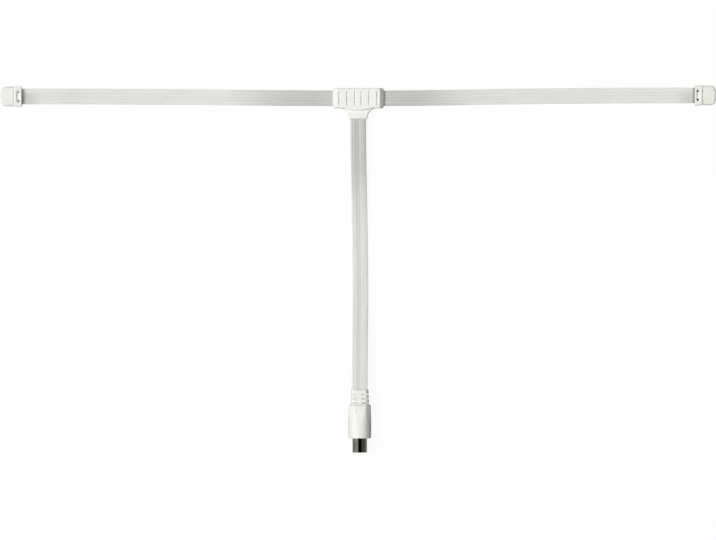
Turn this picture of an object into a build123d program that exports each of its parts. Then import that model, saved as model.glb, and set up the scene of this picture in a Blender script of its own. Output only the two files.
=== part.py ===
from build123d import *
import os
from math import atan2, cos, degrees, radians, sin, tan

# Indoor FM antenna: a folded T dipole of flat two-wire ribbon lead, in millimetres.
# The dipole ribbon runs through a ribbed junction block and ends in two caps. The feeder ribbon
# leaves the block's neck and ends in a coax plug with a slotted boot.
# The part lies on its back: arms along X, feeder towards -Y, front side up, table at z = 0.
# The origin is on the block's back face, under the dipole ribbon's centre line.

# Ribbon lead
wire_diameter = 0.9
wire_spacing = 5.6
wire_clearance = 0.02
jacket_diameter = 1.7
web_thickness = 1.0
ribbon_margin = 1.35
slot_clearance = 0.15

# Ribbon in the open, and how it lies on the table
arm_length = 202.0
left_arm_lift = 1.2
right_arm_lift = 1.9
feeder_length = 175.9
feeder_bow = 1.6
plug_shift = 0.95
table_gap = 0.05

# Junction block
block_floor = 3.45
block_side_wall = 1.35
block_corner = 1.4
back_edge = 0.6
neck_side_wall = 0.85
neck_roof = 1.55
neck_straight = 0.8
neck_edge = 0.9
shoulder_radius = 6.2
bar_overhang = 4.4
bar_rise = 2.0
bar_edge = 0.9
belly_drop = 1.5
end_slope = 2.6
end_land = 1.25
grooves_per_side = 3
groove_middle = 4.2
groove_width = 0.9
groove_depth = 1.0
groove_end_land = 2.0
groove_rim = 0.35
peg_diameter = 1.4
peg_height = 1.5
peg_clearance = 0.05

# Solder joints between the dipole and the feeder
feed_solder = 0.25
feed_solder_edge = 0.3
notch_margin = 0.5
feeder_gap = 0.3

# End caps
cap_floor = 2.25
cap_roof = 2.25
cap_side_wall = 1.15
cap_straight = 5.0
cap_tip_length = 3.4
cap_tip_edge = 1.2
cap_back_edge = 0.6
cap_groove_width = 0.5
cap_groove_depth = 0.5
mouth_rim = 1.1
collar_band = 1.6
collar_rise = 0.4
collar_edge = 0.6
recess_width = 2.4
recess_depth = 1.0
recess_margin = 0.65
cap_hole_diameter = 1.5
cap_hole_shift = 0.25
ribbon_past_collar = 1.8
wire_past_ribbon = 1.7
wire_bend = 0.9
end_solder = 0.35
end_solder_length = 1.0
pocket_end_gap = 0.6

# Plug boot
boot_length = 9.7
boot_side_wall = 0.45
boot_roof = 2.5
boot_flare_width = 0.8
boot_flare_height = 3.6
boot_corner = 2.6
boot_slot_count = 3
boot_slot_width = 0.7
boot_slot_pitch = 2.85
boot_slot_from_root = 1.1
boot_slot_depth = 1.0
boot_slot_wall = 0.3
boot_spine = 2.6
boot_neck_wall = 0.4
boot_neck_roof = 2.2
boot_neck_corner = 2.0
boot_flange_step = 0.2
boot_flange_thickness = 1.4
boot_flange_clearance = 0.15

# Plug body
body_shoulder = 1.1
body_flare = 0.8
body_nose_taper = 0.3
body_widest_from_front = 10.0
body_rear_corner = 3.0
body_rear_corner_edge = 1.0
body_front_corner = 4.3
body_front_corner_edge = 6.6
body_rear_edge = 0.8
body_front_edge = 0.7
body_rear_wall = 1.6
dimple_from_rear = 3.7
dimple_shift = 0.9
dimple_radius = 0.8
dimple_depth = 0.6

# Plug contacts and wiring
sleeve_diameter = 9.5
sleeve_wall = 0.5
sleeve_reach = 9.2
sleeve_seat = 8.0
sleeve_seat_step = 0.25
sleeve_tip_edge = 0.3
tag_length = 3.6
tag_width = 2.4
insulator_length = 4.5
insulator_from_rear = 0.8
pin_diameter = 2.4
pin_recess = 0.8
pin_tail = 3.2
plug_solder_length = 1.8
ribbon_past_flange = 1.0
wire_straight = 1.0
wire_cross = 3.6
wire_cross_bend = 0.8
fit_clearance = 0.03

# Where the arms' ribbon bends along X, measured from the block or from a cap
arm_leaves_block = 23.0
arm_meets_table = 73.0
arm_leaves_table = 53.0
arm_meets_cap = 13.0
early_lift_share = 0.6

# Where the feeder's ribbon bends along Y, measured from the neck or from the boot
feeder_leaves_neck = 19.0
feeder_meets_table = 59.0
feeder_leaves_table = 63.0
feeder_meets_boot = 18.0
early_bow_share = 0.5

# Shapes given as shares: a bend's share of its run, and corner radii as shares of what they round
bend_share = 0.45
cap_corner_share = 0.8
pin_tip_share = 0.4

# Ribbon sizes that follow
half_wires = wire_spacing / 2
ribbon_width = wire_spacing + jacket_diameter + 2 * ribbon_margin
wire_hole_radius = wire_diameter / 2 + wire_clearance
slot_width = ribbon_width + 2 * slot_clearance
slot_height = jacket_diameter + 2 * slot_clearance
table_axis_z = jacket_diameter / 2 + table_gap

# Block sizes that follow
block_axis_z = block_floor + slot_height / 2
bar_width = slot_width + 2 * block_side_wall
bar_bottom = -bar_width / 2
neck_width = slot_width + 2 * neck_side_wall
neck_length = shoulder_radius + neck_straight
neck_end = bar_bottom - neck_length
neck_top = block_axis_z + slot_height / 2 + neck_roof
bar_top = neck_top + bar_rise
block_length = neck_width + 2 * (shoulder_radius + bar_overhang)
block_end = block_length / 2
half_belly = (neck_width + shoulder_radius) / 2
groove_length = bar_width - 2 * groove_end_land
outer_groove_x = block_end - end_slope - end_land - groove_width / 2
groove_pitch = (outer_groove_x - groove_middle / 2) / (grooves_per_side - 1)
groove_x = [groove_middle / 2 + step * groove_pitch for step in range(grooves_per_side)]
peg_radius = peg_diameter / 2
peg_x = neck_width / 2 + shoulder_radius / 4
peg_y = bar_bottom - peg_radius / 4
feed_joint_size = wire_diameter + 2 * feed_solder
feed_joint_reach = half_wires + feed_joint_size / 2

# Cap sizes that follow
cap_mouth = block_end + arm_length
cap_axis_z = cap_floor + slot_height / 2
cap_width = slot_width + 2 * cap_side_wall
cap_top = cap_axis_z + slot_height / 2 + cap_roof
collar_length = mouth_rim + recess_width + collar_band
collar_top = cap_top + collar_rise
collar_width = cap_width + collar_rise
recess_centre = mouth_rim + recess_width / 2
cap_hole_x = recess_centre - cap_hole_shift
recess_length = wire_spacing + cap_hole_diameter + 2 * recess_margin
tip_start = collar_length + cap_groove_width
tip_centre = tip_start + cap_straight
ribbon_in_cap = collar_length + ribbon_past_collar
wire_turn = ribbon_in_cap + wire_past_ribbon
pocket_length = wire_turn + wire_diameter / 2 + pocket_end_gap

# Cap tip: straight sides, two corner arcs and a flatter end arc that meets them in line
cap_half_width = cap_width / 2
tip_end = tip_centre + cap_tip_length
tip_corner_radius = cap_corner_share * cap_tip_length
tip_corner_y = cap_half_width - tip_corner_radius
tip_arc_square = cap_tip_length**2 + tip_corner_y**2 - tip_corner_radius**2
tip_arc_radius = tip_arc_square / (2 * (cap_tip_length - tip_corner_radius))
tip_arc_centre = tip_end - tip_arc_radius
tip_turn = atan2(tip_corner_y, tip_centre - tip_arc_centre)
tip_meet_x = tip_arc_centre + tip_arc_radius * cos(tip_turn)
tip_meet_y = tip_arc_radius * sin(tip_turn)
tip_corner_turn = 90 - degrees(tip_turn)

# Plug sizes that follow; places along the plug are distances below the boot's upper face
boot_face = neck_end - feeder_length
boot_mouth_width = slot_width + 2 * boot_side_wall
boot_mouth_height = slot_height + 2 * boot_roof
boot_root_width = boot_mouth_width + boot_flare_width
boot_root_height = boot_mouth_height + boot_flare_height
boot_neck_width = slot_width + 2 * boot_neck_wall
boot_neck_height = slot_height + 2 * boot_neck_roof
boot_flange_diameter = boot_neck_width + 2 * boot_flange_step
body_rear_width = boot_root_width + 2 * body_shoulder
body_width = body_rear_width + body_flare
plug_axis_z = body_width / 2
sleeve_radius = sleeve_diameter / 2
sleeve_bore = sleeve_radius - sleeve_wall
seat_radius = sleeve_radius - sleeve_seat_step
flange_rear = boot_length + body_rear_wall
flange_front = flange_rear + boot_flange_thickness
ribbon_end = flange_front + ribbon_past_flange
pin_solder_rear = ribbon_end + wire_straight + wire_cross + wire_straight
pin_rear = pin_solder_rear + plug_solder_length
insulator_rear = pin_rear + pin_tail
sleeve_rear = insulator_rear - insulator_from_rear
tag_rear = sleeve_rear - tag_length
tag_wire_x = sleeve_bore / 2
body_front = sleeve_rear + sleeve_seat
sleeve_tip = body_front + sleeve_reach


def arm_lift(side):
    """How far one arm's outer end lies from the block's centre line, away from the feeder."""
    return right_arm_lift if side > 0 else left_arm_lift


def arm_points(side, wire=0.0, end=ribbon_in_cap):
    """Route of one arm from the block outwards, at a sideways offset, to a depth inside its cap."""
    lift = arm_lift(side)
    steps = [
        (block_end + arm_leaves_block, 0, block_axis_z),
        (block_end + arm_meets_table, early_lift_share * lift, table_axis_z),
        (cap_mouth - arm_leaves_table, lift, table_axis_z),
        (cap_mouth - arm_meets_cap, lift, cap_axis_z),
        (cap_mouth + end, lift, cap_axis_z),
    ]
    return [Vector(side * x, y + wire, z) for x, y, z in steps]


def feeder_points(wire=0.0, start=-ribbon_width / 2 - feeder_gap, end=ribbon_end):
    """Route of the feeder from the block down to the plug, at a sideways offset."""
    steps = [
        (0, start, block_axis_z),
        (0, neck_end - feeder_leaves_neck, block_axis_z),
        (early_bow_share * feeder_bow, neck_end - feeder_meets_table, table_axis_z),
        (feeder_bow, boot_face + feeder_leaves_table, table_axis_z),
        (plug_shift, boot_face + feeder_meets_boot, plug_axis_z),
        (plug_shift, boot_face - end, plug_axis_z),
    ]
    return [Vector(x + wire, y, z) for x, y, z in steps]


def bend_radii(points):
    """Largest even bend at each inner point, where it takes the same share of its shorter run."""
    radii = []
    for before, corner, after in zip(points, points[1:], points[2:]):
        run_in = corner - before
        run_out = after - corner
        half_turn = radians(run_in.get_angle(run_out) / 2)
        radii.append(bend_share * min(run_in.length, run_out.length) / tan(half_turn))
    return radii


def plug_point(x, along):
    """Point on the plug's level, sideways from its axis and a distance below the boot's upper face."""
    return Vector(plug_shift + x, boot_face - along, plug_axis_z)


def plug_plane(along):
    """Section plane of the plug, a distance below the boot's upper face; local Y points up."""
    return Plane(origin=plug_point(0, along), x_dir=(1, 0, 0), z_dir=(0, -1, 0))


def save(part, name):
    """Labels a finished piece and writes it."""
    part.label = name
    export_step(part, f"parts/{name}.step")


def ribbon_section():
    """Draws the lead in the open sketch: a thin web with a round jacket over each wire."""
    SlotOverall(ribbon_width, web_thickness)
    with Locations((-half_wires, 0), (half_wires, 0)):
        Circle(jacket_diameter / 2)
        Circle(wire_hole_radius, mode=Mode.SUBTRACT)


def wire(name, points, radii):
    """Builds one bare wire along a route and writes it."""
    with BuildPart() as core:
        with BuildLine() as route:
            FilletPolyline(*points, radius=radii)
        with BuildSketch(Plane(origin=route.line @ 0, z_dir=route.line % 0)):
            Circle(wire_diameter / 2)
        sweep()
    save(core.part, name)


def block_outline(sketch):
    """Draws the block's T in the open sketch: the bar, the neck and the hollow shoulders between them."""
    Rectangle(block_length, bar_width)
    with Locations((0, bar_bottom)):
        Rectangle(neck_width, neck_length, align=(Align.CENTER, Align.MAX))
    fillet(sketch.vertices().group_by(Axis.Y)[1].sort_by(Axis.X)[1:3], shoulder_radius)
    round_bar_ends(sketch)


def round_bar_ends(sketch):
    """Rounds the four outer corners of the bar in the open sketch."""
    for end in (0, -1):
        fillet(sketch.vertices().group_by(Axis.X)[end], block_corner)


def ribbon_slots():
    """Draws the paths of both ribbons through the block in the open sketch."""
    Rectangle(block_length, slot_width)
    Rectangle(slot_width, -neck_end, align=(Align.CENTER, Align.MAX))


def pegs(radius):
    """Draws the block's two locating pegs, or their sockets, in the open sketch."""
    with Locations((-peg_x, peg_y), (peg_x, peg_y)):
        Circle(radius)


os.makedirs("parts", exist_ok=True)

dipole_route = arm_points(-1)[::-1] + arm_points(1)
dipole_radii = bend_radii(dipole_route)
feeder_route = feeder_points()
feeder_radii = bend_radii(feeder_route)
print("dipole bend radii", [round(radius) for radius in dipole_radii])
print("feeder bend radii", [round(radius) for radius in feeder_radii])

# Dipole ribbon: one length through the block, notched where the lower wire is cut
notch_length = 2 * (feed_joint_reach + notch_margin)
notch_top = feed_joint_size / 2 + notch_margin - half_wires
with BuildPart() as dipole_ribbon:
    with BuildLine() as dipole_line:
        FilletPolyline(*dipole_route, radius=dipole_radii)
    with BuildSketch(Plane(origin=dipole_route[0], x_dir=(0, 1, 0), z_dir=(1, 0, 0))) as lead_section:
        ribbon_section()
    sweep()
    with BuildSketch(Plane.XY.offset(block_floor)):
        with Locations((0, notch_top)):
            Rectangle(notch_length, ribbon_width, align=(Align.CENTER, Align.MAX))
    extrude(amount=slot_height, mode=Mode.SUBTRACT)
save(dipole_ribbon.part, "dipole_ribbon")

# Feeder ribbon: from the block's neck, along the table and through the boot
with BuildPart() as feeder_ribbon:
    with BuildLine() as feeder_line:
        FilletPolyline(*feeder_route, radius=feeder_radii)
    with BuildSketch(Plane(origin=feeder_route[0], x_dir=(1, 0, 0), z_dir=(0, -1, 0))):
        ribbon_section()
    sweep()
save(feeder_ribbon.part, "feeder_ribbon")

for lead, line in ((dipole_ribbon, dipole_line), (feeder_ribbon, feeder_line)):
    length = line.wire().length
    expected = lead_section.sketch.area * length
    volume = round(lead.part.volume)
    print(lead.part.label, "length", round(length, 1), "volume", volume, "of", round(expected))

# Dipole wires: the lower one is cut at the feed, and the ends turn towards each other inside the caps
arm_bends = len(dipole_radii) // 2
for side, name, radii in (
    (-1, "dipole_lower_wire_left", dipole_radii[:arm_bends][::-1]),
    (1, "dipole_lower_wire_right", dipole_radii[arm_bends:]),
):
    cut_end = Vector(side * feed_joint_reach, -half_wires, block_axis_z)
    run = arm_points(side, wire=-half_wires, end=wire_turn)
    turned = run[-1] + Vector(0, half_wires - end_solder_length / 2, 0)
    wire(name, [cut_end] + run + [turned], radii + [wire_bend])

left_run, right_run = (arm_points(side, wire=half_wires, end=wire_turn) for side in (-1, 1))
turn_in = Vector(0, end_solder_length / 2 - half_wires, 0)
upper_route = [left_run[-1] + turn_in] + left_run[::-1] + right_run + [right_run[-1] + turn_in]
wire("dipole_upper_wire", upper_route, [wire_bend] + dipole_radii + [wire_bend])

# End joints: solder between the two turned wire ends in each cap
for side, name in ((-1, "left_end_joint"), (1, "right_end_joint")):
    joint_origin = (side * (cap_mouth + wire_turn), arm_lift(side) - end_solder_length / 2, cap_axis_z)
    with BuildPart() as end_joint:
        with BuildSketch(Plane(origin=joint_origin, z_dir=(0, 1, 0))):
            Circle(wire_diameter / 2 + end_solder)
        extrude(amount=end_solder_length)
    save(end_joint.part, name)

# Feeder wires: the left one crosses to the plug's centre pin, the right one to the sleeve's tag
tag_solder_rear = tag_rear + wire_straight
for side, name, inner_x, inner_end in (
    (-1, "feeder_wire_left", 0, pin_solder_rear),
    (1, "feeder_wire_right", tag_wire_x, tag_solder_rear),
):
    run = feeder_points(wire=side * half_wires, start=-feed_joint_reach, end=ribbon_end + wire_straight)
    run += [plug_point(inner_x, inner_end - wire_straight), plug_point(inner_x, inner_end)]
    wire(name, run, feeder_radii + [wire_cross_bend] * 2)

# Feed joints: solder where the feeder wires meet the cut ends of the lower dipole wire
for side, name in ((-1, "left_feed_joint"), (1, "right_feed_joint")):
    with BuildPart() as feed_joint:
        with Locations((side * half_wires, -half_wires, block_axis_z)):
            Box(feed_joint_size, feed_joint_size, feed_joint_size)
        fillet(feed_joint.edges().filter_by(Axis.Z), feed_solder_edge)
    save(feed_joint.part, name)

# Block tray: the back half, flat behind, with a slot for each ribbon and two locating pegs
with BuildPart() as block_tray:
    with BuildSketch() as tray_plan:
        block_outline(tray_plan)
    extrude(amount=block_axis_z)
    fillet(block_tray.faces().sort_by(Axis.Z)[0].edges(), back_edge)
    with BuildSketch(Plane.XY.offset(block_floor)):
        ribbon_slots()
    extrude(amount=slot_height, mode=Mode.SUBTRACT)
    with BuildSketch(Plane.XY.offset(block_axis_z)):
        pegs(peg_radius)
    extrude(amount=peg_height)
save(block_tray.part, "block_tray")

# Block cover: the front half, a grooved bar with sloped ends and a belly, raised over a smooth neck
with BuildPart() as block_cover:
    with BuildSketch(Plane.XY.offset(block_axis_z)) as cover_plan:
        block_outline(cover_plan)
    extrude(amount=neck_top - block_axis_z)
    fillet(block_cover.faces().sort_by(Axis.Z)[-1].edges(), neck_edge)
    with BuildSketch(Plane.XY.offset(block_axis_z)) as bar_plan:
        Rectangle(block_length, bar_width)
        round_bar_ends(bar_plan)
        with BuildLine():
            ThreePointArc((-half_belly, bar_bottom), (0, bar_bottom - belly_drop), (half_belly, bar_bottom))
            Line((half_belly, bar_bottom), (-half_belly, bar_bottom))
        make_face()
    extrude(amount=bar_top - block_axis_z)
    with BuildSketch(Plane.XZ):
        for side in (-1, 1):
            Polygon(
                (side * block_end, bar_top),
                (side * block_end, bar_top - end_slope),
                (side * (block_end - end_slope), bar_top),
                align=None,
            )
    extrude(amount=bar_width, both=True, mode=Mode.SUBTRACT)
    bar_top_and_slopes = block_cover.faces().filter_by(GeomType.PLANE).sort_by(Axis.Z)[-3:]
    fillet(bar_top_and_slopes.edges(), bar_edge)
    with BuildSketch(Plane.XY.offset(bar_top)):
        with Locations(*((side * x, 0) for side in (-1, 1) for x in groove_x)):
            SlotOverall(groove_length, groove_width, rotation=90)
    extrude(amount=-groove_depth, mode=Mode.SUBTRACT)
    bar_face = block_cover.faces().sort_by(Axis.Z)[-1]
    fillet([edge for rim in bar_face.inner_wires() for edge in rim.edges()], groove_rim)
    with BuildSketch(Plane.XY.offset(block_axis_z)):
        ribbon_slots()
    extrude(amount=slot_height / 2, mode=Mode.SUBTRACT)
    with BuildSketch(Plane.XY.offset(block_axis_z)):
        pegs(peg_radius + peg_clearance)
    extrude(amount=peg_height + peg_clearance, mode=Mode.SUBTRACT)
save(block_cover.part, "block_cover")

# End caps: a raised collar with a recess and a hole over each wire, a thin groove and a rounded tip
for side, name in ((-1, "left_end_cap"), (1, "right_end_cap")):
    cap_plane = Plane(origin=(side * cap_mouth, arm_lift(side), 0), x_dir=(side, 0, 0), z_dir=(0, 0, 1))
    with BuildPart() as end_cap:
        with BuildSketch(cap_plane):
            with BuildLine():
                Line((tip_centre, cap_half_width), (tip_start, cap_half_width))
                Line((tip_start, cap_half_width), (tip_start, -cap_half_width))
                Line((tip_start, -cap_half_width), (tip_centre, -cap_half_width))
                CenterArc((tip_centre, -tip_corner_y), tip_corner_radius, -90, tip_corner_turn)
                ThreePointArc((tip_meet_x, -tip_meet_y), (tip_end, 0), (tip_meet_x, tip_meet_y))
                CenterArc((tip_centre, tip_corner_y), tip_corner_radius, 90, -tip_corner_turn)
            make_face()
        extrude(amount=cap_top)
        fillet(end_cap.faces().sort_by(Axis.Z)[-1].edges().filter_by(Axis.Y, reverse=True), cap_tip_edge)
        fillet(end_cap.faces().sort_by(Axis.Z)[0].edges().filter_by(Axis.Y, reverse=True), cap_back_edge)
        with BuildSketch(cap_plane):
            Rectangle(collar_length, collar_width, align=(Align.MIN, Align.CENTER))
        extrude(amount=collar_top)
        collar = end_cap.solids().sort_by(Axis.X)[0 if side > 0 else -1]
        fillet(collar.edges().filter_by(Axis.Z), collar_edge)
        fillet(end_cap.faces().sort_by(Axis.Z)[-1].edges(), collar_edge)
        with BuildSketch(cap_plane.offset(cap_back_edge)):
            Rectangle(tip_centre, cap_width - 2 * cap_groove_depth, align=(Align.MIN, Align.CENTER))
        extrude(amount=cap_top - cap_groove_depth - cap_back_edge)
        with BuildSketch(cap_plane.offset(collar_top)):
            with Locations((recess_centre, 0)):
                SlotOverall(recess_length, recess_width, rotation=90)
        extrude(amount=-recess_depth, mode=Mode.SUBTRACT)
        with BuildSketch(cap_plane.offset(cap_axis_z)):
            with Locations((cap_hole_x, -half_wires), (cap_hole_x, half_wires)):
                Circle(cap_hole_diameter / 2)
        extrude(amount=collar_top - cap_axis_z, mode=Mode.SUBTRACT)
        with BuildSketch(cap_plane.offset(cap_floor)):
            Rectangle(pocket_length, slot_width, align=(Align.MIN, Align.CENTER))
        extrude(amount=slot_height, mode=Mode.SUBTRACT)
    save(end_cap.part, name)

# Plug boot: a tapered, slotted strain relief, held in the plug body by its neck and flange
with BuildPart() as plug_boot:
    with BuildSketch(plug_plane(0)):
        RectangleRounded(boot_mouth_width, boot_mouth_height, boot_corner)
    with BuildSketch(plug_plane(boot_length)):
        RectangleRounded(boot_root_width, boot_root_height, boot_corner)
    loft()
    for row in range(boot_slot_count):
        with BuildSketch(plug_plane(boot_length - boot_slot_from_root - row * boot_slot_pitch)):
            Rectangle(2 * boot_root_width, 2 * boot_root_height)
            Rectangle(
                slot_width + 2 * boot_slot_wall,
                boot_mouth_height - 2 * boot_slot_depth,
                mode=Mode.SUBTRACT,
            )
            Rectangle(boot_spine, 2 * boot_root_height, mode=Mode.SUBTRACT)
        extrude(amount=boot_slot_width / 2, both=True, mode=Mode.SUBTRACT)
    with BuildSketch(plug_plane(boot_length)):
        RectangleRounded(boot_neck_width, boot_neck_height, boot_neck_corner)
    extrude(amount=body_rear_wall)
    with BuildSketch(plug_plane(flange_rear)):
        Circle(boot_flange_diameter / 2)
    extrude(amount=boot_flange_thickness)
    with BuildSketch(plug_plane(0)):
        Rectangle(slot_width, slot_height)
    extrude(amount=flange_front, mode=Mode.SUBTRACT)
save(plug_boot.part, "plug_boot")

# Plug body: a housing that is faceted behind and round in front, hollow behind the sleeve's seat
with BuildPart() as plug_body:
    for along, width, corner, corner_edge in (
        (boot_length, body_rear_width, body_rear_corner, body_rear_corner_edge),
        (body_front - body_widest_from_front, body_width, body_front_corner, body_front_corner_edge),
        (body_front, body_width - body_nose_taper, body_front_corner, body_front_corner_edge),
    ):
        with BuildSketch(plug_plane(along)) as section:
            Rectangle(width, width)
            chamfer(section.vertices(), corner)
            fillet(section.vertices(), corner_edge)
    loft(ruled=True)
    fillet(plug_body.faces().sort_by(Axis.Y)[-1].edges(), body_rear_edge)
    fillet(plug_body.faces().sort_by(Axis.Y)[0].edges(), body_front_edge)
    with BuildSketch(plug_plane(boot_length)):
        RectangleRounded(boot_neck_width, boot_neck_height, boot_neck_corner)
        offset(amount=fit_clearance)
    extrude(amount=body_rear_wall, mode=Mode.SUBTRACT)
    with BuildSketch(plug_plane(flange_rear)):
        Circle(boot_flange_diameter / 2 + boot_flange_clearance)
    extrude(amount=sleeve_rear - flange_rear, mode=Mode.SUBTRACT)
    with BuildSketch(plug_plane(sleeve_rear)):
        Circle(seat_radius + fit_clearance)
    extrude(amount=sleeve_seat, mode=Mode.SUBTRACT)
    dimple_along = boot_length + dimple_from_rear
    dimple_share = dimple_from_rear / (body_front - body_widest_from_front - boot_length)
    dimple_face_z = plug_axis_z + (body_rear_width + dimple_share * body_flare) / 2
    dimple_x = plug_shift - dimple_shift
    with Locations((dimple_x, boot_face - dimple_along, dimple_face_z + dimple_radius - dimple_depth)):
        Sphere(dimple_radius, mode=Mode.SUBTRACT)
save(plug_body.part, "plug_body")

# Plug sleeve: the outer contact, a thin tube with a narrower seat and a solder tag at its rear
with BuildPart() as plug_sleeve:
    with BuildSketch(plug_plane(sleeve_rear)):
        Circle(seat_radius)
    extrude(amount=sleeve_seat)
    with BuildSketch(plug_plane(body_front)):
        Circle(sleeve_radius)
    extrude(amount=sleeve_reach)
    fillet(plug_sleeve.edges().group_by(Axis.Y)[0], sleeve_tip_edge)
    with BuildSketch(plug_plane(tag_rear)):
        Circle(seat_radius)
        Rectangle(seat_radius, tag_width, align=(Align.MIN, Align.CENTER), mode=Mode.INTERSECT)
    extrude(amount=tag_length)
    with BuildSketch(plug_plane(tag_rear)):
        Circle(sleeve_bore)
    extrude(amount=sleeve_tip - tag_rear, mode=Mode.SUBTRACT)
save(plug_sleeve.part, "plug_sleeve")

# Plug insulator: the disc that holds the pin in the middle of the sleeve
with BuildPart() as plug_insulator:
    with BuildSketch(plug_plane(insulator_rear)):
        Circle(sleeve_bore - fit_clearance)
        Circle(pin_diameter / 2 + fit_clearance, mode=Mode.SUBTRACT)
    extrude(amount=insulator_length)
save(plug_insulator.part, "plug_insulator")

# Plug pin: the centre contact, round at its tip
with BuildPart() as plug_pin:
    with BuildSketch(plug_plane(pin_rear)):
        Circle(pin_diameter / 2)
    extrude(amount=sleeve_tip - pin_recess - pin_rear)
    fillet(plug_pin.edges().group_by(Axis.Y)[0], pin_tip_share * pin_diameter)
save(plug_pin.part, "plug_pin")

# Plug joints: solder between a feeder wire and the pin, and between the other wire and the sleeve's tag
with BuildPart() as plug_pin_joint:
    with BuildSketch(plug_plane(pin_solder_rear)):
        Circle(pin_diameter / 2)
    extrude(amount=plug_solder_length)
save(plug_pin_joint.part, "plug_pin_joint")

tag_solder_x = tag_wire_x - wire_diameter / 2
with BuildPart() as plug_tag_joint:
    with BuildSketch(plug_plane(tag_solder_rear)):
        with Locations((tag_solder_x, 0)):
            Rectangle(sleeve_bore - tag_solder_x, wire_diameter, align=(Align.MIN, Align.CENTER))
        Circle(sleeve_bore - fit_clearance, mode=Mode.INTERSECT)
    extrude(amount=plug_solder_length)
save(plug_tag_joint.part, "plug_tag_joint")
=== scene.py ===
"""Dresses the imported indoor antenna: its ribbons, its finishes, the light and the camera.

Everything is in metres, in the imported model's frame: arms along X, feeder towards -Y, front side up,
table at z = 0.
"""

import logging
import math
from dataclasses import dataclass
from enum import Enum

import bmesh
import bpy
from mathutils import Matrix, Vector


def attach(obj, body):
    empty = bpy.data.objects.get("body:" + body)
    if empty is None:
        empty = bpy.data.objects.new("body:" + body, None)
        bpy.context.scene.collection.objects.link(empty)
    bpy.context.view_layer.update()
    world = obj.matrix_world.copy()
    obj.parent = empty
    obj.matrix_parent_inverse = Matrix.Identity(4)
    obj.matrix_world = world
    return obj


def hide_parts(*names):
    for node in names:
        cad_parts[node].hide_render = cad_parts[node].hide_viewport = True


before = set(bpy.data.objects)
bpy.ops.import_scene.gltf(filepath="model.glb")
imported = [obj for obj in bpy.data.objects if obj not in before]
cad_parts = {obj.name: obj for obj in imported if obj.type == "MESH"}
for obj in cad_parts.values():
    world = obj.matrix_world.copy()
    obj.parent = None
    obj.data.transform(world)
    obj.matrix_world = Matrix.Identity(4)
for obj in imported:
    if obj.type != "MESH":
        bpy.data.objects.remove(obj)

LOG = logging.getLogger("antenna")
MM = 0.001
ROOT_BODY = "root"

Colour = tuple[float, float, float]
Point = tuple[float, float, float]
Input = float | int | tuple[float, ...] | bpy.types.NodeSocket


class Projection(Enum):
    """Which rays see a lamp."""

    ALL = "all"
    DIFFUSE = "diffuse"
    GLOSSY = "glossy"


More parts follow.
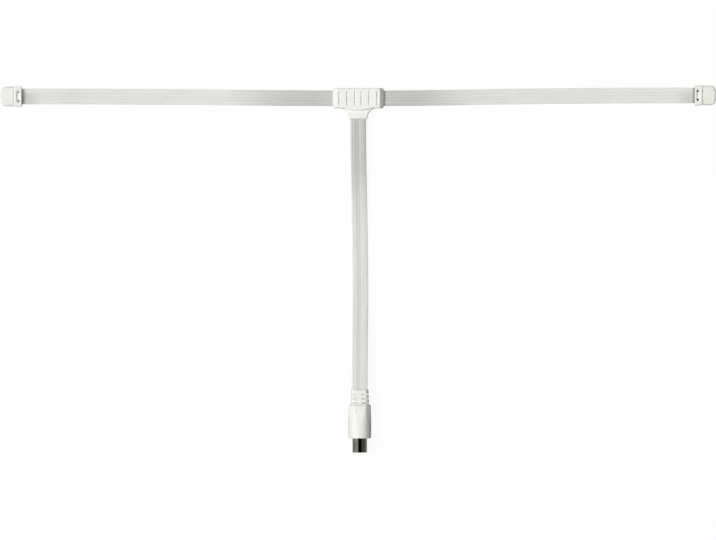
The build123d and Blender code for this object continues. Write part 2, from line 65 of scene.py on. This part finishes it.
class NodeGraph:
    """Builds one node tree, a node at a time."""

    def __init__(self, tree: bpy.types.NodeTree) -> None:
        """Empties a tree and keeps it.

        Args:
            tree: The node tree of a material or of the world.
        """
        self.tree = tree
        self.tree.nodes.clear()

    def add(
        self, kind: str, inputs: dict[str | int, Input] | None = None, **settings: object
    ) -> bpy.types.Node:
        """Adds a node, sets its options and fills or links its inputs.

        Args:
            kind: The node's type, such as ShaderNodeTexNoise.
            inputs: Input names or numbers, with a constant or another node's output for each.
            settings: The node's own options.

        Returns:
            The new node.
        """
        node = self.tree.nodes.new(kind)
        for option, value in settings.items():
            setattr(node, option, value)
        for key, value in (inputs or {}).items():
            socket = node.inputs[key]
            if isinstance(value, bpy.types.NodeSocket):
                self.tree.links.new(value, socket)
            else:
                socket.default_value = value
        return node

    def coords(self) -> bpy.types.NodeSocket:
        """Returns the piece's own coordinates, in metres."""
        return self.add("ShaderNodeTexCoord").outputs["Object"]

    def attribute(self, name: str) -> bpy.types.NodeSocket:
        """Returns a number that the mesh holds at each point.

        Args:
            name: The attribute's name.

        Returns:
            The attribute's value.
        """
        return self.add("ShaderNodeAttribute", attribute_name=name).outputs["Fac"]

    def stretch(self, vector: bpy.types.NodeSocket, scale: Point) -> bpy.types.NodeSocket:
        """Scales a vector along each axis.

        Args:
            vector: The vector to scale.
            scale: Its factors along X, Y and Z.

        Returns:
            The scaled vector.
        """
        return self.add("ShaderNodeMapping", {"Vector": vector, "Scale": scale}).outputs["Vector"]

    def noise(self, vector: bpy.types.NodeSocket, scale: float, detail: float = 3.0) -> bpy.types.NodeSocket:
        """Returns soft noise between 0 and 1.

        Args:
            vector: Where the noise is read.
            scale: How many patches there are to a metre.
            detail: How many finer layers the noise has.

        Returns:
            The noise's value.
        """
        grain = {"Vector": vector, "Scale": scale, "Detail": detail}
        return self.add("ShaderNodeTexNoise", grain).outputs["Fac"]

    def math(self, operation: str, first: Input, second: Input = 0.0) -> bpy.types.NodeSocket:
        """Returns one sum on two numbers.

        Args:
            operation: The Math node's operation.
            first: The first number.
            second: The second number.

        Returns:
            The result.
        """
        return self.add("ShaderNodeMath", {0: first, 1: second}, operation=operation).outputs[0]

    def remap(
        self, value: Input, low: float, high: float, to_low: float, to_high: float
    ) -> bpy.types.NodeSocket:
        """Carries a range of numbers over to another, eased at both ends.

        Args:
            value: The number to carry over.
            low: Where the first range starts.
            high: Where it ends.
            to_low: What its start becomes.
            to_high: What its end becomes.

        Returns:
            The new number.
        """
        limits = {"Value": value, "From Min": low, "From Max": high, "To Min": to_low, "To Max": to_high}
        return self.add("ShaderNodeMapRange", limits, interpolation_type="SMOOTHSTEP").outputs["Result"]

    def mix(self, share: Input, first: Input, second: Input) -> bpy.types.NodeSocket:
        """Blends two colours.

        Args:
            share: How much of the second there is.
            first: The first colour.
            second: The second colour.

        Returns:
            The blended colour.
        """
        colours = {0: share, 6: self.opaque(first), 7: self.opaque(second)}
        return self.add("ShaderNodeMix", colours, data_type="RGBA").outputs[2]

    def bump(
        self, height: Input, distance: float, under: bpy.types.NodeSocket | None = None
    ) -> bpy.types.NodeSocket:
        """Turns a height into a bent normal.

        Args:
            height: The height, from 0 to 1.
            distance: The depth of a full height, in metres.
            under: A normal that this one adds to.

        Returns:
            The bent normal.
        """
        inputs: dict[str | int, Input] = {"Height": height, "Distance": distance, "Strength": 1.0}
        if under is not None:
            inputs["Normal"] = under
        return self.add("ShaderNodeBump", inputs).outputs["Normal"]

    def crevices(self, reach: float) -> bpy.types.NodeSocket:
        """Returns how closed in a point is, from 0 in the open to 1 in a corner.

        Args:
            reach: How far away a wall still counts, in metres.

        Returns:
            The closeness.
        """
        open_sky = self.add("ShaderNodeAmbientOcclusion", {"Distance": reach}, samples=8).outputs["AO"]
        return self.math("SUBTRACT", 1.0, open_sky)

    def edges(self, radius: float) -> bpy.types.NodeSocket:
        """Returns how near a point is to an edge, from 0 on a flat to 1 on a sharp edge.

        Args:
            radius: How far from the edge it still counts, in metres.

        Returns:
            The nearness.
        """
        rounded = self.add("ShaderNodeBevel", {"Radius": radius}, samples=6).outputs["Normal"]
        plain = self.add("ShaderNodeNewGeometry").outputs["Normal"]
        turn = self.add("ShaderNodeVectorMath", {0: rounded, 1: plain}, operation="DOT_PRODUCT")
        return self.remap(turn.outputs["Value"], 0.8, 0.995, 1.0, 0.0)

    def finish(self, shader: bpy.types.NodeSocket, output: str = "ShaderNodeOutputMaterial") -> None:
        """Sends a shader to the tree's output.

        Args:
            shader: The finished shader.
            output: The output node's type.
        """
        self.add(output, {"Surface": shader})

    @staticmethod
    def opaque(colour: Input) -> Input:
        """Gives a written colour its alpha, and leaves a linked one alone."""
        return (*colour, 1.0) if isinstance(colour, tuple) else colour


@dataclass(frozen=True)
class Finish:
    """What every finish has: a name and its plain colour."""

    name: str
    colour: Colour

    def start(self) -> tuple[bpy.types.Material, NodeGraph]:
        """Makes the finish's empty material.

        Returns:
            The material and its node graph.
        """
        material = bpy.data.materials.new(self.name)
        material.use_nodes = True
        material.diffuse_color = (*self.colour, 1.0)
        return material, NodeGraph(material.node_tree)

    def material(self) -> bpy.types.Material:
        """Builds the finish's material."""
        raise NotImplementedError


@dataclass(frozen=True)
class MouldedPlastic(Finish):
    """Off-white moulded plastic: faint mottling, a fine skin, painted shade in the corners and polished
    edges.
    """

    crevice_shade: Colour = (0.6, 0.6, 0.55)
    dull: Colour = (0.8, 0.8, 0.755)
    roughness: float = 0.34
    mottle_scale: float = 140.0
    skin_scale: float = 2600.0
    skin_depth: float = 0.005 * MM
    crevice_shade_reach: float = 1.6 * MM
    crevice_shade_share: float = 0.35
    edge_reach: float = 0.35 * MM
    gloss: float = 0.2

    def material(self) -> bpy.types.Material:
        """Builds the plastic.

        Returns:
            The material.
        """
        material, graph = self.start()
        place = graph.coords()
        mottle = graph.noise(place, self.mottle_scale, 5.0)
        skin = graph.noise(place, self.skin_scale, 2.0)
        wear = graph.edges(self.edge_reach)
        patches = graph.remap(mottle, 0.3, 0.75, 0.55, 1.0)
        # painted shade: darker in crevices and hollows, read from ambient occlusion, in patches
        crevice_shade_mask = graph.math("MULTIPLY", graph.crevices(self.crevice_shade_reach), patches)
        tone = graph.mix(graph.remap(mottle, 0.35, 0.8, 0.0, 0.35), self.colour, self.dull)
        tone = graph.mix(graph.remap(crevice_shade_mask, 0.15, 0.95, 0.0, self.crevice_shade_share), tone, self.crevice_shade)
        sheen = graph.remap(skin, 0.2, 0.8, self.roughness - 0.06, self.roughness + 0.08)
        sheen = graph.math("SUBTRACT", sheen, graph.math("MULTIPLY", wear, 0.1))
        waves = graph.bump(mottle, 8 * self.skin_depth)
        surface = {
            "Base Color": tone,
            "Roughness": sheen,
            "IOR": 1.5,
            "Specular IOR Level": self.gloss,
            "Normal": graph.bump(skin, self.skin_depth, waves),
        }
        graph.finish(graph.add("ShaderNodeBsdfPrincipled", surface).outputs["BSDF"])
        return material


@dataclass(frozen=True)
class RibbonPlastic(Finish):
    """Extruded ribbon lead: painted highlights over the wires and at its edges, drawn lines, painted shade
    near the block and at the caps.
    """

    dull: Colour = (0.555, 0.56, 0.53)
    ridge: Colour = (0.86, 0.865, 0.815)
    edge: Colour = (0.95, 0.95, 0.91)
    groove: Colour = (0.5, 0.505, 0.48)
    mouth_shade: Colour = (0.24, 0.24, 0.21)
    roughness: float = 0.42
    wire_spacing: float = 5.6 * MM
    half_width: float = 5.0 * MM
    ridge_reach: float = 1.5 * MM
    ridge_highlight_share: float = 0.4
    edge_reach: float = 2.0 * MM
    rim_highlight_share: float = 0.9
    back_rim_highlight_share: float = 0.5
    block_shade_full_until: float = 38.5 * MM
    block_shade_end: float = 84.5 * MM
    lean: float = 0.1
    cap_shade: float = 204 * MM
    cap_mouth: float = 218.7 * MM
    shade_share: float = 0.8
    shade_at_edge: float = 0.2
    mouth_shade_width: float = 2.0 * MM
    mouth_shade_left: float = 0.0
    mouth_shade_right: float = 1.0
    line_depth: float = 0.008 * MM
    line_pitch: float = 1.9 * MM
    line_share: float = 0.22
    line_grain: Point = (14.0, 1900.0, 1.0)
    cloud_grain: Point = (45.0, 160.0, 1.0)

    def material(self) -> bpy.types.Material:
        """Builds the ribbon's plastic.

        Returns:
            The material.
        """
        material, graph = self.start()
        across = graph.attribute(Ribbon.ACROSS)
        along = graph.attribute(Ribbon.ALONG)
        offset = graph.math("ABSOLUTE", across)
        lane = graph.add("ShaderNodeCombineXYZ", {"X": along, "Y": across}).outputs["Vector"]
        lines = graph.noise(graph.stretch(lane, self.line_grain), 1.0, 4.0)
        clouds = graph.noise(graph.stretch(lane, self.cloud_grain), 1.0, 4.0)
        wave = graph.math("COSINE", graph.math("MULTIPLY", offset, 2 * math.pi / self.line_pitch))
        wave = graph.math("MULTIPLY", wave, graph.remap(clouds, 0.3, 0.7, 0.4, 1.0))
        wire = graph.math("ABSOLUTE", graph.math("SUBTRACT", offset, self.wire_spacing / 2))
        # painted highlight: paler over the two wires, where the ridges catch the light
        ridge = graph.remap(wire, 0.0, self.ridge_reach, self.ridge_highlight_share, 0.0)
        # painted highlight: paler along the lead's edges, weaker on the back edge
        edge_start = self.half_width - self.edge_reach
        rim_highlight = graph.remap(across, edge_start, self.half_width, 0.0, self.rim_highlight_share)
        back_rim_highlight = graph.remap(across, -self.half_width, -edge_start, self.back_rim_highlight_share, 0.0)
        # painted shade: darker near the block, fading out along the lead, shifted by side, in patches
        side = graph.add("ShaderNodeSeparateXYZ", {"Vector": graph.coords()}).outputs["X"]
        reach = graph.math("ADD", along, graph.math("MULTIPLY", side, self.lean))
        block_shade = graph.remap(reach, self.block_shade_full_until, self.block_shade_end, 1.0, 0.0)
        tone = graph.mix(ridge, self.colour, self.ridge)
        tone = graph.mix(graph.math("ADD", rim_highlight, back_rim_highlight), tone, self.edge)
        block_shade = graph.math("MULTIPLY", block_shade, graph.remap(clouds, 0.2, 0.8, 0.82, 1.0))
        tone = graph.mix(block_shade, tone, self.dull)
        tone = graph.mix(graph.remap(clouds, 0.45, 0.85, 0.0, 0.22), tone, self.dull)
        tone = graph.mix(graph.remap(lines, 0.55, 0.8, 0.0, 0.2), tone, self.ridge)
        tone = graph.mix(graph.remap(wave, 0.0, 1.0, 0.0, self.line_share), tone, self.groove)
        tone = graph.mix(graph.remap(wave, -1.0, 0.0, self.line_share, 0.0), tone, self.ridge)
        shade = graph.remap(along, self.cap_shade, self.cap_mouth, 0.0, self.shade_share)
        fade = graph.remap(across, 0.0, self.half_width, 1.0, self.shade_at_edge)
        shade = graph.math("MULTIPLY", shade, fade)
        tone = graph.mix(shade, tone, self.dull)
        # painted shade: a dark line on the lead just outside the right cap's mouth, none at the left
        mouth_shade_band = graph.remap(along, self.cap_mouth - self.mouth_shade_width, self.cap_mouth, 0.0, 1.0)
        share = graph.remap(side, -self.cap_shade, self.cap_shade, self.mouth_shade_left, self.mouth_shade_right)
        tone = graph.mix(graph.math("MULTIPLY", mouth_shade_band, share), tone, self.mouth_shade)
        surface = {
            "Base Color": tone,
            "Roughness": graph.remap(lines, 0.25, 0.75, self.roughness - 0.07, self.roughness + 0.09),
            "IOR": 1.51,
            "Normal": graph.bump(lines, self.line_depth, graph.bump(clouds, 3 * self.line_depth)),
        }
        graph.finish(graph.add("ShaderNodeBsdfPrincipled", surface).outputs["BSDF"])
        return material


@dataclass(frozen=True)
class PlatedMetal(Finish):
    """Dark bright plating with fine turned rings and soft smudges."""

    smudge: Colour = (0.08, 0.082, 0.068)
    roughness: float = 0.2
    ring_scale: float = 2200.0
    ring_depth: float = 0.003 * MM
    smudge_scale: float = 320.0

    def material(self) -> bpy.types.Material:
        """Builds the plating.

        Returns:
            The material.
        """
        material, graph = self.start()
        place = graph.coords()
        rings = graph.noise(graph.stretch(place, (40.0, self.ring_scale, 40.0)), 1.0, 3.0)
        smudges = graph.noise(place, self.smudge_scale, 5.0)
        tone = graph.mix(graph.remap(smudges, 0.45, 0.75, 0.0, 0.8), self.colour, self.smudge)
        surface = {
            "Base Color": tone,
            "Metallic": 1.0,
            "Roughness": graph.remap(smudges, 0.3, 0.8, self.roughness - 0.05, self.roughness + 0.12),
            "Normal": graph.bump(rings, self.ring_depth),
        }
        graph.finish(graph.add("ShaderNodeBsdfPrincipled", surface).outputs["BSDF"])
        return material


@dataclass(frozen=True)
class BareMetal(Finish):
    """Wire or solder: bright metal with tarnish in patches and a drawn or lumpy skin."""

    tarnish: Colour = (0.3, 0.17, 0.11)
    roughness: float = 0.3
    patch_scale: float = 500.0
    skin_scale: float = 1500.0
    skin_depth: float = 0.02 * MM

    def material(self) -> bpy.types.Material:
        """Builds the bare metal.

        Returns:
            The material.
        """
        material, graph = self.start()
        place = graph.coords()
        patches = graph.noise(place, self.patch_scale, 4.0)
        skin = graph.noise(place, self.skin_scale, 2.0)
        surface = {
            "Base Color": graph.mix(graph.remap(patches, 0.4, 0.8, 0.0, 0.7), self.colour, self.tarnish),
            "Metallic": 1.0,
            "Roughness": graph.remap(patches, 0.3, 0.8, self.roughness - 0.08, self.roughness + 0.2),
            "Normal": graph.bump(skin, self.skin_depth),
        }
        graph.finish(graph.add("ShaderNodeBsdfPrincipled", surface).outputs["BSDF"])
        return material


@dataclass
class Ribbon:
    """A length of flat two-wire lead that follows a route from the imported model."""

    ACROSS = "across"
    ALONG = "from_block"

    name: str
    nodes: tuple[str, ...]
    route: tuple[Point, ...]
    exit: Point
    length: float
    far_end: str
    block_end: float
    carries: tuple[str, ...] = ()
    width: float = 10.0 * MM
    web: float = 1.0 * MM
    jacket: float = 1.5 * MM
    wire_spacing: float = 5.6 * MM
    ridge_reach: float = 2.7 * MM
    ring_points: int = 112
    steps_per_run: int = 26

    def centre_line(self) -> list[Vector]:
        """Reads the smooth line through the route.

        Returns:
            Points along the line, from the route's start to its end.
        """
        curve = bpy.data.curves.new(f"{self.name}_route", "CURVE")
        curve.dimensions = "3D"
        curve.resolution_u = self.steps_per_run
        spline = curve.splines.new("NURBS")
        spline.points.add(len(self.route) - 1)
        for point, place in zip(spline.points, self.route):
            point.co = (*place, 1.0)
        spline.order_u = 3
        spline.use_endpoint_u = True
        holder = bpy.data.objects.new(curve.name, curve)
        line = bpy.data.meshes.new_from_object(holder)
        points = [vertex.co.copy() for vertex in line.vertices]
        bpy.data.objects.remove(holder)
        bpy.data.curves.remove(curve)
        bpy.data.meshes.remove(line)
        return points

    def half_height(self, across: float) -> float:
        """Gives half the lead's thickness at a distance from its middle.

        Args:
            across: The distance from the middle, in metres.

        Returns:
            Half the thickness there, in metres.
        """
        half_web = self.web / 2
        inset = min(1.0, (self.width / 2 - abs(across)) / half_web)
        from_wire = abs(abs(across) - self.wire_spacing / 2)
        swell = (1 + math.cos(math.pi * min(1.0, from_wire / self.ridge_reach))) / 2
        return half_web * math.sqrt(max(0.0, 1 - (1 - inset) ** 2)) + swell * (self.jacket / 2 - half_web)

    @staticmethod
    def place_at(points: list[Vector], index: int) -> Matrix:
        """Gives the lead's place and turn at one point of its line, lying flat.

        Args:
            points: The line's points.
            index: Which of them is meant.

        Returns:
            A matrix whose axes run across, up and along the lead.
        """
        along = (points[min(index + 1, len(points) - 1)] - points[max(index - 1, 0)]).normalized()
        across = Vector((0, 0, 1)).cross(along).normalized()
        up = along.cross(across)
        turn = Matrix((across, up, along)).transposed().to_4x4()
        return Matrix.Translation(points[index]) @ turn

    @staticmethod
    def settle_order(shape: bmesh.types.BMesh) -> None:
        """Puts the edges and faces in the order of their points, the same on every run.

        Args:
            shape: The finished shape, whose extruded faces come in no fixed order.
        """
        shape.verts.index_update()
        count = len(shape.verts)
        for parts in (shape.edges, shape.faces):
            spans = {part: [vertex.index for vertex in part.verts] for part in parts}
            parts.sort(key=lambda part: min(spans[part]) * count + max(spans[part]))

    def mesh(self, points: list[Vector]) -> bpy.types.Mesh:
        """Draws the lead's section and extrudes it along the line.

        Args:
            points: The line's points.

        Returns:
            The finished mesh.
        """
        shape = bmesh.new()
        across = shape.verts.layers.float.new(self.ACROSS)
        along = shape.verts.layers.float.new(self.ALONG)
        ring = bmesh.ops.create_circle(shape, segments=self.ring_points, radius=1.0)["verts"]
        for vertex in ring:
            x = vertex.co.x * self.width / 2
            vertex[across] = x
            vertex.co = (x, math.copysign(self.half_height(x), vertex.co.y), 0.0)
        places = [self.place_at(points, index) for index in range(len(points))]
        bmesh.ops.transform(shape, matrix=places[0], verts=ring)
        walked = 0.0
        edges = list(shape.edges)
        for index, place in enumerate(places):
            if index:
                walked += (points[index] - points[index - 1]).length
                grown = bmesh.ops.extrude_edge_only(shape, edges=edges)["geom"]
                edges = [part for part in grown if isinstance(part, bmesh.types.BMEdge)]
                ring = [part for part in grown if isinstance(part, bmesh.types.BMVert)]
                bmesh.ops.transform(shape, matrix=place @ places[index - 1].inverted(), verts=ring)
            for vertex in ring:
                vertex[along] = abs(walked - self.block_end)
        bmesh.ops.holes_fill(shape, edges=[edge for edge in shape.edges if edge.is_boundary])
        bmesh.ops.recalc_face_normals(shape, faces=shape.faces)
        for face in shape.faces:
            face.smooth = len(face.verts) == 4
        self.settle_order(shape)
        mesh = bpy.data.meshes.new(self.name)
        shape.to_mesh(mesh)
        shape.free()
        return mesh

    def build(self, finish: bpy.types.Material) -> bpy.types.Object:
        """Args:
            finish: The lead's material.

        Returns:
            The lead's object.
        """
        points = self.centre_line()
        lead = bpy.data.objects.new(self.name, self.mesh(points))
        lead.data.materials.append(finish)
        bpy.context.scene.collection.objects.link(lead)
        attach(lead, ROOT_BODY)
        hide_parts(*self.nodes)
        LOG.info("%s: %d faces, %d stations", self.name, len(lead.data.polygons), len(points))
        return lead


@dataclass
class Dipole:
    """The two arms, one length of lead from cap to cap, with the wires inside it."""

    WIRES = ("dipole_upper_wire", "dipole_lower_wire_left", "dipole_lower_wire_right")

    route: tuple[Point, ...] = (
        (-225.5 * MM, 1.2 * MM, 3.25 * MM),
        (-205.6 * MM, 1.2 * MM, 3.25 * MM),
        (-165.6 * MM, 1.2 * MM, 0.9 * MM),
        (-89.6 * MM, 0.72 * MM, 0.9 * MM),
        (-39.6 * MM, 0.0, 4.45 * MM),
        (39.6 * MM, 0.0, 4.45 * MM),
        (89.6 * MM, 1.14 * MM, 0.9 * MM),
        (165.6 * MM, 1.9 * MM, 0.9 * MM),
        (205.6 * MM, 1.9 * MM, 3.25 * MM),
        (225.5 * MM, 1.9 * MM, 3.25 * MM),
    )
    cap_mouth: Point = (-218.6 * MM, 1.2 * MM, 3.25 * MM)
    length: float = 451.3 * MM

    def build(self, lead: bpy.types.Material) -> bpy.types.Object:
        """Builds the arms.

        Args:
            lead: The lead's material.

        Returns:
            The arms' object.
        """
        return Ribbon(
            name="dipole_lead",
            nodes=("dipole_ribbon",),
            route=self.route,
            exit=self.cap_mouth,
            length=self.length,
            far_end="object",
            block_end=self.length / 2,
            carries=self.WIRES,
        ).build(lead)


@dataclass
class Feeder:
    """The lead from the block's neck, which stands for its two wires too, with the plug on its end."""

    NODES = ("feeder_ribbon", "feeder_wire_left", "feeder_wire_right")
    PLUG = (
        "plug_boot",
        "plug_body",
        "plug_sleeve",
        "plug_insulator",
        "plug_pin",
        "plug_pin_joint",
        "plug_tag_joint",
    )

    route: tuple[Point, ...] = (
        (0.0, -5.3 * MM, 4.45 * MM),
        (0.0, -32.5 * MM, 4.45 * MM),
        (0.8 * MM, -72.5 * MM, 0.9 * MM),
        (1.6 * MM, -126.4 * MM, 0.9 * MM),
        (0.95 * MM, -164.0 * MM, 7.5 * MM),
        (0.95 * MM, -203.1 * MM, 7.5 * MM),
    )
    neck: Point = (0.0, -13.5 * MM, 4.45 * MM)
    length: float = 198.3 * MM
    block_shade_origin: float = -6.5 * MM

    def build(self, lead: bpy.types.Material) -> bpy.types.Object:
        """Builds the feeder.

        Args:
            lead: The lead's material.

        Returns:
            The feeder's object.
        """
        return Ribbon(
            name="feeder_lead",
            nodes=self.NODES,
            route=self.route,
            exit=self.neck,
            length=self.length,
            far_end="plug",
            block_end=self.block_shade_origin,
            carries=self.PLUG,
        ).build(lead)


@dataclass(frozen=True)
class Wardrobe:
    """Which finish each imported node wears."""

    shell: MouldedPlastic = MouldedPlastic("block_plastic", (0.93, 0.935, 0.895), crevice_shade_share=0.25)
    cap: MouldedPlastic = MouldedPlastic("cap_plastic", (0.885, 0.89, 0.84), mottle_scale=260.0)
    housing: MouldedPlastic = MouldedPlastic(
        "plug_plastic",
        (0.91, 0.92, 0.86),
        # strong painted shade in the plug's crevices, its pit and its joints
        crevice_shade=(0.2, 0.2, 0.17),
        mottle_scale=170.0,
        crevice_shade_reach=1.2 * MM,
        crevice_shade_share=0.9,
    )
    boot: MouldedPlastic = MouldedPlastic(
        "boot_plastic", (0.9, 0.91, 0.845), roughness=0.5, skin_depth=0.008 * MM, crevice_shade_share=0.45
    )
    insulator: MouldedPlastic = MouldedPlastic("insulator_plastic", (0.8, 0.8, 0.75), roughness=0.45)
    plating: PlatedMetal = PlatedMetal("plug_plating", (0.115, 0.118, 0.1))
    copper: BareMetal = BareMetal("copper_wire", (0.72, 0.4, 0.26))
    solder: BareMetal = BareMetal(
        "solder", (0.6, 0.6, 0.62), tarnish=(0.35, 0.35, 0.36), skin_depth=0.06 * MM
    )

    def nodes(self) -> dict[str, Finish]:
        """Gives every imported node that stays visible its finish.

        Returns:
            The finish of each node.
        """
        return {
            "block_cover": self.shell,
            "block_tray": self.shell,
            "left_end_cap": self.cap,
            "right_end_cap": self.cap,
            "plug_body": self.housing,
            "plug_boot": self.boot,
            "plug_insulator": self.insulator,
            "plug_sleeve": self.plating,
            "plug_pin": self.plating,
            "dipole_upper_wire": self.copper,
            "dipole_lower_wire_left": self.copper,
            "dipole_lower_wire_right": self.copper,
            "left_end_joint": self.solder,
            "right_end_joint": self.solder,
            "left_feed_joint": self.solder,
            "right_feed_joint": self.solder,
            "plug_pin_joint": self.solder,
            "plug_tag_joint": self.solder,
        }

    def dress(self) -> None:
        """Puts each node's finish on its object."""
        made: dict[str, bpy.types.Material] = {}
        for name, finish in self.nodes().items():
            if finish.name not in made:
                made[finish.name] = finish.material()
            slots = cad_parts[name].data.materials
            slots.clear()
            slots.append(made[finish.name])
            LOG.info("%s wears %s", name, finish.name)


@dataclass(frozen=True)
class Lamp:
    """A soft square lamp that points at the object."""

    name: str
    place: Point
    size: float
    power: float
    seen: Projection = Projection.ALL
    aim: Point = (0.0, -0.1, 0.0)

    def build(self) -> bpy.types.Object:
        """Makes the lamp.

        Returns:
            The lamp's object.
        """
        light = bpy.data.lights.new(self.name, "AREA")
        light.shape = "SQUARE"
        light.size = self.size
        light.energy = self.power
        lamp = bpy.data.objects.new(self.name, light)
        lamp.location = self.place
        lamp.rotation_mode = "QUATERNION"
        lamp.rotation_quaternion = (Vector(self.aim) - Vector(self.place)).to_track_quat("-Z", "Y")
        lamp.visible_camera = False
        lamp.visible_glossy = self.seen is not Projection.DIFFUSE
        lamp.visible_diffuse = self.seen is not Projection.GLOSSY
        bpy.context.scene.collection.objects.link(lamp)
        return lamp


@dataclass(frozen=True)
class Studio:
    """The pale table, the soft sky and the lamps."""

    table_size: float = 16.0
    table_level: float = -0.05 * MM
    table_grey: float = 0.06
    table_white: float = 0.9
    shadow_share: float = 0.06
    sky_sides: float = 0.01
    sky_ends: float = 0.4
    ends_band: tuple[float, float] = (0.6, 0.95)
    overhead_band: tuple[float, float] = (0.5, 0.95)
    lamps: tuple[Lamp, ...] = (
        Lamp("key", (-7.8, -0.1, 11.25), 6.5, 1480.0, Projection.DIFFUSE),
        Lamp("top", (0.0, -0.1, 4.5), 3.0, 61.0, Projection.DIFFUSE),
        Lamp("left_card", (-1.48, -0.2, 0.93), 2.0, 26.0, Projection.GLOSSY),
        Lamp("right_card", (1.5, -0.2, 0.9), 1.9, 6.2, Projection.GLOSSY),
    )

    def build(self) -> None:
        """Makes the table, the sky and the lamps."""
        self.build_table()
        self.build_sky()
        for lamp in self.lamps:
            lamp.build()

    def build_table(self) -> None:
        """Makes the table: white to the eye and in reflections, with the object's faint shadow."""
        shape = bmesh.new()
        bmesh.ops.create_grid(shape, x_segments=1, y_segments=1, size=self.table_size / 2)
        bmesh.ops.translate(shape, verts=shape.verts, vec=(0.0, 0.0, self.table_level))
        mesh = bpy.data.meshes.new("table")
        shape.to_mesh(mesh)
        shape.free()
        material = bpy.data.materials.new("table_white")
        material.use_nodes = True
        graph = NodeGraph(material.node_tree)
        white = (self.table_white,) * 3 + (1.0,)
        grey = (self.table_grey,) * 3 + (1.0,)
        rays = graph.add("ShaderNodeLightPath").outputs
        seen = graph.math("MAXIMUM", rays["Is Camera Ray"], rays["Is Glossy Ray"])
        seen = graph.math("MAXIMUM", seen, rays["Is Transmission Ray"])
        paper = graph.add("ShaderNodeBsdfDiffuse", {"Color": white}).outputs[0]
        matt = graph.add("ShaderNodeBsdfDiffuse", {"Color": grey}).outputs[0]
        glow = graph.add("ShaderNodeEmission", {"Color": (1.0, 1.0, 1.0, 1.0), "Strength": 1.0}).outputs[0]
        shaded = graph.add("ShaderNodeMixShader", {0: self.shadow_share, 1: glow, 2: paper}).outputs[0]
        graph.finish(graph.add("ShaderNodeMixShader", {0: seen, 1: matt, 2: shaded}).outputs[0])
        table = bpy.data.objects.new("table", mesh)
        table.data.materials.append(material)
        bpy.context.scene.collection.objects.link(table)

    def build_sky(self) -> None:
        """Makes the sky: paler towards the front and the back than to the sides, and dark overhead."""
        world = bpy.data.worlds.new("studio_sky")
        world.use_nodes = True
        graph = NodeGraph(world.node_tree)
        direction = graph.add("ShaderNodeTexCoord").outputs["Generated"]
        axes = graph.add("ShaderNodeSeparateXYZ", {"Vector": direction}).outputs
        depth = graph.math("ABSOLUTE", axes["Y"])
        ends = graph.remap(depth, *self.ends_band, self.sky_sides, self.sky_ends)
        level = graph.math("MULTIPLY", ends, graph.remap(axes["Z"], *self.overhead_band, 1.0, 0.0))
        sky = graph.add("ShaderNodeBackground", {"Color": (1.0, 1.0, 1.0, 1.0), "Strength": level})
        graph.finish(sky.outputs[0], "ShaderNodeOutputWorld")
        bpy.context.scene.world = world


@dataclass(frozen=True)
class PhotoView:
    """The photograph's view, straight down."""

    middle: tuple[float, float] = (-0.2 * MM, -111.6 * MM)
    width: float = 465.4 * MM
    height: float = 4.0
    level: float = 4.0 * MM
    sensor: float = 36.0

    def place(self) -> None:
        """Makes the camera and sets the view up."""
        lens = bpy.data.cameras.new("photo_view")
        lens.sensor_fit = "HORIZONTAL"
        lens.sensor_width = self.sensor
        lens.lens = self.sensor * (self.height - self.level) / self.width
        lens.clip_start = 0.01
        camera = bpy.data.objects.new("photo_view", lens)
        camera.location = (*self.middle, self.height)
        bpy.context.scene.collection.objects.link(camera)
        bpy.context.scene.camera = camera
        bpy.context.scene.view_settings.view_transform = "Standard"


def main() -> None:
    """Builds the ribbons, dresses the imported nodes, and sets the studio and the camera."""
    logging.basicConfig(level=logging.INFO, format="%(name)s: %(message)s")
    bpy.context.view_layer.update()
    PhotoView().place()
    arm_plastic = RibbonPlastic("arm_plastic", (0.81, 0.81, 0.78))
    feeder_plastic = RibbonPlastic(
        "feeder_plastic", (0.75, 0.75, 0.725), line_share=0.36, back_rim_highlight_share=0.0
    )
    Dipole().build(arm_plastic.material())
    Feeder().build(feeder_plastic.material())
    Wardrobe().dress()
    Studio().build()


if __name__ == "__main__":
    main()
